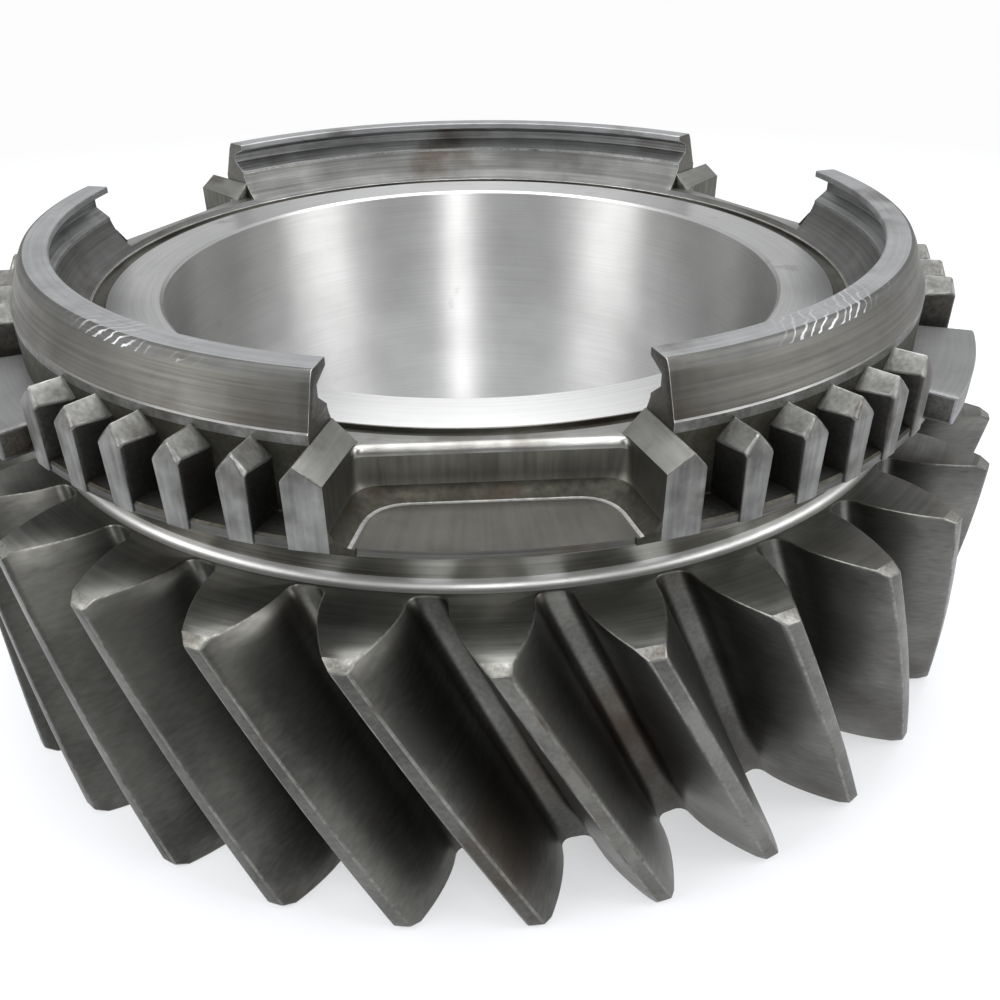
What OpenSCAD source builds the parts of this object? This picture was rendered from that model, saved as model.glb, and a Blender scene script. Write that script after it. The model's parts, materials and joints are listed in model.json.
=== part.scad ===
// Speed gear of a gearbox, turned, hobbed and milled from one forging.
// A left-hand helical band carries a dog ring and a synchroniser cup in three segments.
// The axis is Z, the toothed band's lower face is z = 0 and one lug slot faces -Y.

/* [Helical band] */
// Number of helical teeth
gear_teeth = 31; // [29:1:40]
// Normal module of the helical teeth
normal_module = 3.1; // [2.8:0.05:3.6]
// Helix angle at the pitch circle, left hand
helix_angle = 25.5; // [10:0.5:32]
// Normal pressure angle of the flanks
pressure_angle = 20; // [17.5:0.5:22.5]
// Height of the tooth tips above the pitch circle
addendum = 4; // [2.5:0.1:4.4]
// Depth of the tooth roots below the pitch circle
dedendum = 5; // [3.5:0.1:5.6]
// Backlash taken off each tooth at the pitch circle
backlash = 0.2; // [0:0.05:0.4]
// Size of the fillets at the tooth roots
root_fillet = 1.1; // [0.4:0.1:1.4]
// Width of the toothed band along the axis
face_w = 29.4; // [20:0.2:45]
// Radial size of the chamfers at the tooth tip ends
tip_chamfer_r = 1; // [0.4:0.1:1.6]
// Axial size of the chamfers at the tooth tip ends
tip_chamfer_z = 0.5; // [0.2:0.1:1.2]
// How far the tooth ends lie below the web's faces
end_relief = 0.1; // [0.05:0.05:0.5]
// Turn of the nearest tooth from the middle of a lug slot, at the upper face
tooth_turn = -0.5; // [-5.5:0.1:5.5]

/* [Bore and hub] */
// Diameter of the bore, for the needle bearing
bore_d = 68; // [58:0.5:74]
// Chamfer at both ends of the bore
bore_chamfer = 0.8; // [0.3:0.1:2]
// Width of the hub face from the bore to the relief groove
hub_face_w = 5.8; // [4:0.1:8]
// Width of the relief groove around the hub face
relief_w = 1.4; // [0.8:0.1:2]
// Depth of the relief groove below the hub face
relief_depth = 0.85; // [0.3:0.05:1.5]

/* [Dog ring] */
// Number of dog teeth
dog_teeth = 57; // [48:3:63]
// Height of the neck between the toothed band and the dog ring's rim
neck_h = 5.6; // [3:0.1:9]
// How far the neck lies inside the roots of the dog teeth
neck_inset = 0.8; // [0.3:0.1:2]
// Radius of the fillet at the foot of the neck
neck_fillet = 0.9; // [0.4:0.1:1.8]
// Rise of the dog ring's underside from the neck to the rim
underside_rise = 1.6; // [0.5:0.1:2.4]
// Thickness of the rim under the dog teeth
rim_t = 1; // [0.6:0.1:2]
// How far the rim stands out past the dog teeth
rim_lip = 0.15; // [0.05:0.05:0.4]
// Height of a dog tooth from the rim to its ridge
dog_h = 6.4; // [5:0.1:9]
// Radial depth of a dog tooth
dog_depth = 3.5; // [2:0.1:4.5]
// Width of a dog tooth at its outer face
dog_face_w = 2.35; // [1.8:0.05:3]
// Angle of a dog tooth's flanks in plan
dog_flank_angle = 12; // [4:0.5:15]
// Height of a dog tooth's roof above its outer corners
dog_roof_h = 1.4; // [0.6:0.1:2]
// Turn of the dog ring from the middle of a lug slot
dog_turn = 0.4; // [-1:0.1:1]
// Number of dog teeth that a smooth pad replaces under each wall segment
pad_teeth = 3; // [1:1:5]
// Thickness of the smooth pads
pad_t = 3; // [1.5:0.1:5]
// How far the smooth pads stand out past the dog teeth
pad_out = 2.2; // [0.3:0.1:3]

/* [Cup wall] */
// Height of the wall above the undercut over the dog teeth
wall_h = 4.2; // [3.4:0.1:7]
// Height of the undercut between the dog teeth's ridges and the wall
undercut_h = 0.6; // [0.5:0.1:1.2]
// Depth of the undercut over the dog teeth
undercut_depth = 0.7; // [0.3:0.1:1]
// How far the wall's lower edge lies inside the roots of the dog teeth
edge_inset = 0.2; // [0.1:0.05:0.6]
// Inward lean of the wall's outer face from its lower edge to its top
wall_lean = 1.5; // [0.5:0.1:2]
// Width of the wall's flat top
wall_top_w = 2.75; // [2.2:0.05:4]
// Thickness of the lip over the snap ring groove
lip_t = 0.7; // [0.4:0.05:1]
// Depth of the snap ring groove behind the lip
snap_depth = 1.9; // [1:0.1:2.1]
// Width of the snap ring groove at its bottom
snap_w = 1; // [0.6:0.1:1.4]
// How far the ridge under the groove stands back from the lip
ridge_back = 0.45; // [0.1:0.05:0.8]
// How far the lip stands outward of the wall's foot
lip_out = 2.35; // [1.5:0.05:4]
// Depth of the cup from the wall's top to the hub face
cup_depth = 7.45; // [6.4:0.05:10]

/* [Lug slots] */
// Number of lug slots and wall segments
slots = 3; // [2:1:4]
// Angle of the gap between two wall segments
gap_angle = 32.4; // [24:0.2:44]
// Height of the gap's floor above the hub face
gap_step = 0.45; // [0.1:0.05:1.2]
// Width of a lug slot across its sides
slot_w = 24.4; // [16:0.2:28]
// Wall between the relief groove and a lug slot's back
slot_wall = 2.15; // [1:0.05:4]
// Radius of the lug slot's corners
slot_corner = 4.8; // [1:0.1:6]
// Depth of a lug slot's floor below the rim's upper face
slot_drop = 0.2; // [0.05:0.05:0.5]

/* [Hidden] */

// Helical band, in the plane across the axis
gear_step = 360 / gear_teeth;
pitch_r = gear_teeth * normal_module / cos(helix_angle) / 2;
tip_r = pitch_r + addendum;
root_r = pitch_r - dedendum;
face_pressure_angle = atan(tan(pressure_angle) / cos(helix_angle));
base_r = pitch_r * cos(face_pressure_angle);
twist_rate = tan(helix_angle) / pitch_r * 180 / PI;
tooth_slices = 4;
flank_steps = 2;
tooth_sink = 0.2;

// Radii, stacked outward from the bore
bore_r = bore_d / 2;
relief_in_r = bore_r + hub_face_w;
foot_r = relief_in_r + relief_w;
lip_r = foot_r + lip_out;
snap_r = lip_r + snap_depth;
ridge_r = lip_r + ridge_back;
wall_top_r = lip_r + wall_top_w;
wall_edge_r = wall_top_r + wall_lean;
dog_root_r = wall_edge_r + edge_inset;
dog_outer_r = dog_root_r + dog_depth;
rim_r = dog_outer_r + rim_lip;
neck_r = dog_root_r - neck_inset;
undercut_r = wall_edge_r - undercut_depth;
neck_round = max(neck_fillet / 4, min(neck_fillet, root_r - neck_r - end_relief));

// Heights, stacked upward from the toothed band
rim_low_z = face_w + neck_h;
rim_top_z = rim_low_z + rim_t;
dog_ridge_z = rim_top_z + dog_h;
wall_edge_z = dog_ridge_z + undercut_h;
wall_top_z = wall_edge_z + wall_h;
hub_z = wall_top_z - cup_depth;
gap_z = hub_z + gap_step;
slot_z = rim_top_z - slot_drop;
relief_z = hub_z - relief_depth;

// Wall's section
top_chamfer = 0.25;
groove_slope = 0.4;
ridge_slope = 0.8;
snap_top_z = wall_top_z - lip_t - groove_slope * snap_depth;
snap_low_z = snap_top_z - snap_w;
ridge_z = snap_low_z - ridge_slope * (snap_r - ridge_r);
ridge_flat = 0.3;
band_bow = 0.35;
band_steps = 6;
undercut_lip = 0.3;

// Dog tooth
dog_step = 360 / dog_teeth;
dog_sink = 1;
dog_back_r = dog_root_r - dog_sink;
dog_front_half = dog_face_w / 2;
dog_back_half = dog_front_half + (dog_outer_r - dog_back_r) * tan(dog_flank_angle);
dog_roof_slope = dog_roof_h / dog_front_half;

// Smooth pad, in the middle of a wall segment
pad_r = dog_outer_r + pad_out;
pad_low_z = rim_low_z + rim_t / 5;
pad_span = pad_teeth * dog_step;
pad_pitch = 360 / slots;

// Room that the cutting shapes take past the surfaces they cut
over = 2;

// Pieces of an arc, and the least flat left between two slot corners
corner_steps = 6;
fillet_steps = 5;
corner_flat = 0.5;

// Involute function of an angle in degrees, in degrees
function involute(a) = tan(a) * 180 / PI - a;

// Half angle of a tooth at radius r, with the flank radial below the base circle
function flank_half(r) =
    90 / gear_teeth - backlash / 2 / pitch_r * 180 / PI
    + involute(face_pressure_angle) - involute(acos(min(1, base_r / r)));

// Root fillet's size, limited by the room between two teeth
fillet_room = (gear_step / 2 - flank_half(base_r)) * PI / 180 * root_r;
fillet = min(root_fillet, fillet_room - 2 * tooth_sink);

// Radii of one flank's points, from the fillet to the tip, which a chamfer may lower
function flank_radii(top_r) = [
    for (i = [0:flank_steps]) root_r + fillet + (top_r - root_r - fillet) * i / flank_steps
];

// Right flank's points as radius and angle, from the sunken foot to the tip
function flank(top_r) = concat(
    [[root_r - tooth_sink, flank_half(base_r) + (fillet + tooth_sink) / root_r * 180 / PI]],
    [for (r = flank_radii(top_r)) [r, flank_half(r)]]
);

// Outline of one helical tooth at height z, about the X axis at the upper face
function tooth_ring(z, top_r) = let (
    right = flank(top_r),
    last = len(right) - 1,
    turn = twist_rate * (face_w - z)
) [
    for (side = [-1, 1], i = [0:last])
        let (
            p = right[side < 0 ? i : last - i],
            a = turn + side * p[1]
        ) [p[0] * cos(a), p[0] * sin(a), z]
];

// Points of an arc from angle a0 to a1
function arc(centre, r, a0, a1, steps) = [
    for (i = [0:steps]) let (a = a0 + (a1 - a0) * i / steps) centre + r * [cos(a), sin(a)]
];

// One helical tooth, with its tip chamfered at both ends
module helical_tooth() {
    low_z = end_relief;
    top_z = face_w - end_relief;
    full_h = top_z - low_z - 2 * tip_chamfer_z;
    rings = concat(
        [tooth_ring(low_z, tip_r - tip_chamfer_r)],
        [for (i = [0:tooth_slices]) tooth_ring(low_z + tip_chamfer_z + full_h * i / tooth_slices, tip_r)],
        [tooth_ring(top_z, tip_r - tip_chamfer_r)]
    );
    count = len(rings[0]);
    points = [for (ring = rings, p = ring) p];
    sides = [
        for (k = [0:len(rings) - 2], i = [0:count - 1])
            let (a = k * count + i, b = k * count + (i + 1) % count)
            each [[a, a + count, b], [b, a + count, b + count]]
    ];
    lower_cap = [for (i = [0:count - 1]) i];
    upper_cap = [for (i = [count - 1:-1:0]) (len(rings) - 1) * count + i];
    polyhedron(points, concat(sides, [lower_cap, upper_cap]), convexity = 4);
}

// Ring of helical teeth
module helical_teeth() {
    for (i = [0:gear_teeth - 1])
        rotate([0, 0, -90 + tooth_turn + i * gear_step]) helical_tooth();
}

// Web, hub, neck, dog ring and cup wall, turned in one section
module turned_body() {
    band_low = [foot_r + band_bow, hub_z];
    band_top = [ridge_r, ridge_z - ridge_flat];
    band_dir = (band_top - band_low) / norm(band_top - band_low);
    rotate_extrude($fn = 180) polygon(concat(
        [[bore_r - over, 0], [root_r, 0], [root_r, face_w]],
        arc([neck_r + neck_round, face_w + neck_round], neck_round, 270, 180, fillet_steps),
        [[neck_r, rim_low_z - underside_rise], [rim_r, rim_low_z]],
        [[rim_r, rim_top_z], [dog_root_r, rim_top_z]],
        [[dog_root_r, wall_edge_z - undercut_h / 2], [undercut_r, wall_edge_z - undercut_h / 2]],
        [[undercut_r, wall_edge_z - undercut_h / 4], [wall_edge_r, wall_edge_z]],
        [[wall_edge_r - edge_inset / 2, wall_edge_z + undercut_lip]],
        [[wall_top_r, wall_top_z - top_chamfer], [wall_top_r - top_chamfer, wall_top_z]],
        [[lip_r, wall_top_z], [lip_r, wall_top_z - lip_t], [snap_r, snap_top_z], [snap_r, snap_low_z]],
        [[ridge_r, ridge_z], band_top],
        [for (i = [band_steps - 1:-1:1]) let (
            s = i / band_steps,
            bow = band_bow * 4 * s * (1 - s)
        ) band_low + s * (band_top - band_low) + bow * [band_dir[1], -band_dir[0]]],
        [band_low, [foot_r, hub_z], [foot_r, relief_z], [relief_in_r, relief_z], [relief_in_r, hub_z]],
        [[bore_r - over, hub_z]]
    ));
}

// One dog tooth on the +X side, with a roof of two facets
module dog_tooth() {
    low_z = rim_top_z - rim_t / 2;
    ends = [[dog_back_r, dog_back_half], [dog_outer_r, dog_front_half]];
    points = [
        for (e = ends) each [
            [e[0], -e[1], low_z],
            [e[0], e[1], low_z],
            [e[0], e[1], dog_ridge_z - dog_roof_slope * e[1]],
            [e[0], 0, dog_ridge_z],
            [e[0], -e[1], dog_ridge_z - dog_roof_slope * e[1]]
        ]
    ];
    rounds = [for (i = [0:4]) [i, i + 5, (i + 1) % 5 + 5, (i + 1) % 5]];
    polyhedron(points, concat(rounds, [[0, 1, 2, 3, 4], [9, 8, 7, 6, 5]]));
}

// Angle from the nearest middle of a wall segment
function from_pad(a) = abs((a % pad_pitch) - pad_pitch / 2);

// Smooth pad that stands in for some dog teeth, about -Y
module dog_pad() {
    rotate([0, 0, -90 - pad_span / 2])
        rotate_extrude(angle = pad_span, $fn = 180)
            translate([dog_back_r, pad_low_z]) square([pad_r - dog_back_r, rim_low_z + pad_t - pad_low_z]);
}

// Ring of dog teeth, with a space at the middle of each lug slot and a pad under each wall segment
module dog_ring() {
    rotate([0, 0, dog_turn]) {
        for (i = [0:dog_teeth - 1])
            if (from_pad((i + 0.5) * dog_step) >= pad_span / 2)
                rotate([0, 0, -90 + (i + 0.5) * dog_step]) dog_tooth();
        for (i = [0:slots - 1])
            rotate([0, 0, (i + 0.5) * pad_pitch]) dog_pad();
    }
}

// Gap between two wall segments, about -Y
module wall_gap() {
    rotate([0, 0, -90 - gap_angle / 2])
        rotate_extrude(angle = gap_angle, $fn = 180)
            translate([relief_in_r, gap_z]) square([rim_r + over - relief_in_r, wall_top_z + over - gap_z]);
}

// Lug slot about -Y, milled with round corners
module lug_slot() {
    back = foot_r + slot_wall;
    front = rim_r + over;
    half = slot_w / 2;
    r = min(slot_corner, half - corner_flat);
    translate([0, 0, slot_z]) linear_extrude(wall_top_z + over - slot_z) polygon(concat(
        [[half, -front]],
        arc([half - r, -back - r], r, 0, 90, corner_steps),
        arc([r - half, -back - r], r, 90, 180, corner_steps),
        [[-half, -front]]
    ));
}

// Bore with a chamfer at each end
module bore() {
    rotate_extrude($fn = 180) polygon([
        [0, -over], [bore_r + bore_chamfer + over, -over], [bore_r, bore_chamfer],
        [bore_r, hub_z - bore_chamfer], [bore_r + bore_chamfer + over, hub_z + over], [0, hub_z + over]
    ]);
}

// Whole gear, cut from one blank
module gear() {
    color("gray") difference() {
        union() {
            turned_body();
            helical_teeth();
            dog_ring();
        }
        bore();
        for (i = [0:slots - 1]) rotate([0, 0, i * 360 / slots]) {
            wall_gap();
            lug_slot();
        }
    }
}

gear();
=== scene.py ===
"""Helical speed gear of a gearbox, with its dog ring and synchroniser cup, in worn machined steel."""

import json
import logging
import math
from collections.abc import Callable
from dataclasses import dataclass, field
from enum import Enum, IntEnum
from typing import ClassVar

import bpy
import numpy as np
from mathutils import Matrix, Vector

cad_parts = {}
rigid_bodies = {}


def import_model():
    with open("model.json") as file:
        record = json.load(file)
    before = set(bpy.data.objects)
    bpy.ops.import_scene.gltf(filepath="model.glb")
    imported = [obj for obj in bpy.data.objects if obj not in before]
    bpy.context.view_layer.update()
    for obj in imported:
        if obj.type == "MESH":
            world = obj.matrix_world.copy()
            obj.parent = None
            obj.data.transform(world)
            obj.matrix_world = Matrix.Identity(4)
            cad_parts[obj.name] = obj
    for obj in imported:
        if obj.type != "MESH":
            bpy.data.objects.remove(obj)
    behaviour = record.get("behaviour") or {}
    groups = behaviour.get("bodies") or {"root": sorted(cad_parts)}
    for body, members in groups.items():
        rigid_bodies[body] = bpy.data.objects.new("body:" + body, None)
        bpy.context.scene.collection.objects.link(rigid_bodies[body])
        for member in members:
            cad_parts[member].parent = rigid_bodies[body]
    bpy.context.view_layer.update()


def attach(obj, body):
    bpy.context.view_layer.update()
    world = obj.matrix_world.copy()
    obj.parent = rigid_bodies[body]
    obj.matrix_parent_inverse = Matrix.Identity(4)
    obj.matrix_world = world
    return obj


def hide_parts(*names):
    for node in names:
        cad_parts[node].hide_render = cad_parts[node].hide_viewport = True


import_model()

LOG = logging.getLogger("gear")
MM = 0.001
# Direction of the portrait's side, in degrees
FRONT = -90.0
AXIS_DOWN = (0.0, 0.0, -1.0)
ORIGIN = (0.0, 0.0, 0.0)
# Tolerances in millimetres, for finding places and for welding copies
TOUCH = 0.01
WELD = 0.002
# Tool marks of the steel: radius where they are to scale, their rate around, their stretch
MEAN_R = 48.0
MARKS_PER_RADIAN = 2.5
MARK_STRETCH = 0.06
# Levels of the noise where marks and stains set in, and the span of the roughness
CONTRAST = (0.36, 0.64)
STAIN_EDGE = 0.66
STAIN_FULL = 0.74
STAIN_DEPTH = 0.7
GLOSS_SPAN = (1.2, 0.85)
QUARTER_TURN = 0.25

Point = tuple[float, float]
Triple = tuple[float, float, float]
Piece = bpy.types.Object
Socket = bpy.types.NodeSocket


class Finish(IntEnum):
    """Finishes of the gear's surfaces, numbered as its material slots."""

    FLANK = 0
    TOOTH_END = 1
    NECK = 2
    DOG_FACE = 3
    DOG_SIDE = 4
    DOG_ROOF = 5
    WALL_OUTER = 6
    WALL_TOP = 7
    CUP = 8
    GROOVE = 9
    HUB_FACE = 10
    BORE = 11
    SLOT_WALL = 12
    SLOT_FLOOR = 13
    WORN = 14
    SHELF = 15
    TIP_CHAMFER = 16
    TOOTH_EDGE = 17
    PAD = 18
    RIM = 19
    RAMP = 20
    BROW = 21
    FOOT_LINE = 22
    SLOT_CORNER = 23
    DOG_EDGE = 24
    LIP_LINE = 25


class Grain(Enum):
    """Direction in which the tool marks of a surface run."""

    AROUND = "around"
    ALONG = "along"
    RADIAL = "radial"
    NONE = "none"


class Nodes:
    """Small helper that places and links the nodes of one material."""

    def __init__(self, tree: bpy.types.NodeTree) -> None:
        """Keeps the tree and empties it.

        Args:
            tree: Node tree to fill.
        """
        self.tree = tree
        self.tree.nodes.clear()

    def add(self, kind: str, **settings: object) -> bpy.types.Node:
        """Adds one node.

        Args:
            kind: Blender's type name of the node.
            settings: Properties of the node and their values.

        Returns:
            The new node.
        """
        node = self.tree.nodes.new(kind)
        for name, value in settings.items():
            setattr(node, name, value)
        return node

    def link(self, source: Socket, target: Socket) -> None:
        """Links an output to an input."""
        self.tree.links.new(source, target)

    def math(self, operation: str, *values: object) -> Socket:
        """Adds a math node.

        Args:
            operation: Name of the operation.
            values: Sockets or plain numbers for its inputs.

        Returns:
            The node's output.
        """
        node = self.add("ShaderNodeMath", operation=operation)
        self.feed(node, values)
        return node.outputs[0]

    def feed(self, node: bpy.types.Node, values: tuple[object, ...]) -> None:
        """Sets or links a node's first inputs.

        Args:
            node: Node to feed.
            values: Sockets or plain values, in the order of the inputs.
        """
        for socket, value in zip(node.inputs, values):
            if isinstance(value, Socket):
                self.link(value, socket)
            else:
                socket.default_value = value

    def vector(self, *values: object) -> Socket:
        """Joins three sockets or numbers into a vector and returns its output."""
        node = self.add("ShaderNodeCombineXYZ")
        self.feed(node, values)
        return node.outputs[0]

    def polar(self, place: Socket) -> tuple[Socket, Socket, Socket]:
        """Turns a place into its angle about the axis, its distance from the axis and its height.

        Args:
            place: Coordinates of the surface.

        Returns:
            Angle in radians from the X axis, distance and height.
        """
        split = self.add("ShaderNodeSeparateXYZ")
        self.link(place, split.inputs[0])
        x, y, z = split.outputs
        length = self.add("ShaderNodeVectorMath", operation="LENGTH")
        self.link(self.vector(x, y, 0.0), length.inputs[0])
        return self.math("ARCTAN2", y, x), length.outputs["Value"], z

    def noise(self, vector: Socket, scale: float, detail: float = 3.0) -> Socket:
        """Adds a noise texture.

        Args:
            vector: Coordinates of the noise.
            scale: How many features fit in one unit.
            detail: Number of finer layers.

        Returns:
            The noise's value, from 0 to 1.
        """
        node = self.add("ShaderNodeTexNoise")
        node.inputs["Scale"].default_value = scale
        node.inputs["Detail"].default_value = detail
        self.link(vector, node.inputs["Vector"])
        return node.outputs["Fac"]

    def ramp(self, value: Socket, low: float, high: float, to_low: float = 0.0,
             to_high: float = 1.0) -> Socket:
        """Maps a value from one range to another, clamped.

        Args:
            value: Socket to map.
            low: Value that becomes to_low.
            high: Value that becomes to_high.
            to_low: Result at the low end.
            to_high: Result at the high end.

        Returns:
            The mapped socket.
        """
        node = self.add("ShaderNodeMapRange", clamp=True)
        self.feed(node, (value, low, high, to_low, to_high))
        return node.outputs[0]

    def mix(self, factor: object, first: object, second: object) -> Socket:
        """Mixes two colours.

        Args:
            factor: Share of the second colour, a socket or a number.
            first: First colour, a socket or a tuple.
            second: Second colour, a socket or a tuple.

        Returns:
            The mixed colour.
        """
        node = self.add("ShaderNodeMix", data_type="RGBA")
        for name, value in (("Factor_Float", factor), ("A_Color", first), ("B_Color", second)):
            socket = next(s for s in node.inputs if s.identifier == name)
            if isinstance(value, Socket):
                self.link(value, socket)
            elif isinstance(value, tuple):
                socket.default_value = (*value, 1.0)
            else:
                socket.default_value = value
        return next(s for s in node.outputs if s.identifier == "Result_Color")


@dataclass(frozen=True)
class Nicks:
    """Slanting bright nicks in a worn stretch either side of the front. Sizes in millimetres and radians."""

    colour: Triple = (0.62, 0.63, 0.64)
    middle_r: float = 46.0
    middle: float = 0.68
    full_reach: float = 0.06
    far_reach: float = 0.22
    slant: float = 0.9
    wobble: float = 2.6
    wobble_size: float = 2.0
    patch_size: float = 4.0
    rate: float = 5.2

    def share(self, nodes: Nodes, place: Socket, strength: float) -> Socket:
        """Works out where the nicks lie.

        Args:
            nodes: Nodes of the material.
            place: Coordinates of the surface.
            strength: Share of bare metal in a nick.

        Returns:
            Share of bare metal, from 0 to 1.
        """
        turn, radius, height = nodes.polar(place)
        angle = nodes.math("SUBTRACT", turn, math.radians(FRONT))
        slant = nodes.math("MULTIPLY", nodes.math("SUBTRACT", radius, height), self.slant / MM)
        across = nodes.math("ADD", nodes.math("MULTIPLY", angle, self.middle_r), slant)
        wobble = nodes.math("MULTIPLY", nodes.noise(place, 1 / (self.wobble_size * MM)), self.wobble)
        wave = nodes.math("SINE", nodes.math("MULTIPLY", nodes.math("ADD", across, wobble), self.rate))
        cuts = nodes.ramp(wave, 0.6, 0.98)
        away = nodes.math("ABSOLUTE", nodes.math("SUBTRACT", nodes.math("ABSOLUTE", angle), self.middle))
        window = nodes.ramp(away, self.full_reach, self.far_reach, strength, 0.0)
        patches = nodes.ramp(nodes.noise(place, 1 / (self.patch_size * MM)), 0.4, 0.6)
        return nodes.math("MULTIPLY", nodes.math("MULTIPLY", cuts, window), patches)


@dataclass(frozen=True)
class Steel:
    """One finish of the steel: its colours, gloss and tool marks.

    Colours are linear, sizes are in millimetres.
    """

    name: str
    light: Triple
    dark: Triple
    roughness: float
    grain: Grain = Grain.NONE
    pitch: float = 0.25
    mark: float = 0.5
    bump: float = 0.1
    blotch: float = 6.0
    stain: Triple = (0.05, 0.035, 0.025)
    stain_share: float = 0.1
    anisotropy: float = 0.0
    nicks: float = 0.0

    def material(self) -> bpy.types.Material:
        """Builds the node material.

        Returns:
            The finished material.
        """
        made = bpy.data.materials.new(self.name)
        made.use_nodes = True
        nodes = Nodes(made.node_tree)
        place = nodes.add("ShaderNodeTexCoord").outputs["Object"]
        marks = self.marks(nodes, place)
        blotches = nodes.noise(place, 1 / (self.blotch * MM), 4.0)
        marked = nodes.math("MULTIPLY", marks, self.mark)
        share = nodes.math("ADD", marked, nodes.math("MULTIPLY", blotches, 1 - self.mark))
        colour = nodes.mix(nodes.ramp(share, *CONTRAST), self.dark, self.light)
        spots = nodes.noise(place, 0.6 / (self.blotch * MM), 6.0)
        stained = nodes.ramp(spots, STAIN_EDGE - self.stain_share, STAIN_FULL, 0.0, STAIN_DEPTH)
        colour = nodes.mix(stained, colour, self.stain)
        if self.nicks:
            nicks = Nicks()
            colour = nodes.mix(nicks.share(nodes, place, self.nicks), colour, nicks.colour)
        shader = nodes.add("ShaderNodeBsdfPrincipled")
        shader.inputs["Metallic"].default_value = 1.0
        shader.inputs["Anisotropic"].default_value = self.anisotropy
        shader.inputs["Anisotropic Rotation"].default_value = QUARTER_TURN
        nodes.link(colour, shader.inputs["Base Color"])
        dull, bright = (self.roughness * part for part in GLOSS_SPAN)
        rough = nodes.ramp(share, 0.25, 0.75, dull, bright)
        nodes.link(rough, shader.inputs["Roughness"])
        if self.anisotropy:
            tangent = nodes.add("ShaderNodeTangent", direction_type="RADIAL", axis="Z")
            nodes.link(tangent.outputs[0], shader.inputs["Tangent"])
        if self.bump:
            bump = nodes.add("ShaderNodeBump")
            bump.inputs["Strength"].default_value = self.bump
            bump.inputs["Distance"].default_value = self.pitch * MM
            nodes.link(share, bump.inputs["Height"])
            nodes.link(bump.outputs[0], shader.inputs["Normal"])
        out = nodes.add("ShaderNodeOutputMaterial")
        nodes.link(shader.outputs[0], out.inputs["Surface"])
        return made

    def marks(self, nodes: Nodes, place: Socket) -> Socket:
        """Adds the tool marks.

        Args:
            nodes: Nodes of the material.
            place: Coordinates of the surface.

        Returns:
            A value from 0 to 1 that varies across the marks.
        """
        fine = 1 / (self.pitch * MM)
        if self.grain is Grain.NONE:
            return nodes.noise(place, fine)
        angle, radius, height = nodes.polar(place)
        arc = nodes.math("MULTIPLY", angle, MEAN_R * MM * fine)
        out = nodes.math("MULTIPLY", radius, fine)
        up = nodes.math("MULTIPLY", height, fine)
        if self.grain is Grain.AROUND:
            vector = nodes.vector(out, up, nodes.math("MULTIPLY", angle, MARKS_PER_RADIAN))
        elif self.grain is Grain.ALONG:
            vector = nodes.vector(arc, out, nodes.math("MULTIPLY", height, MARK_STRETCH * fine))
        else:
            vector = nodes.vector(arc, up, nodes.math("MULTIPLY", radius, MARK_STRETCH * fine))
        return nodes.noise(vector, 1.0)


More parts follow.
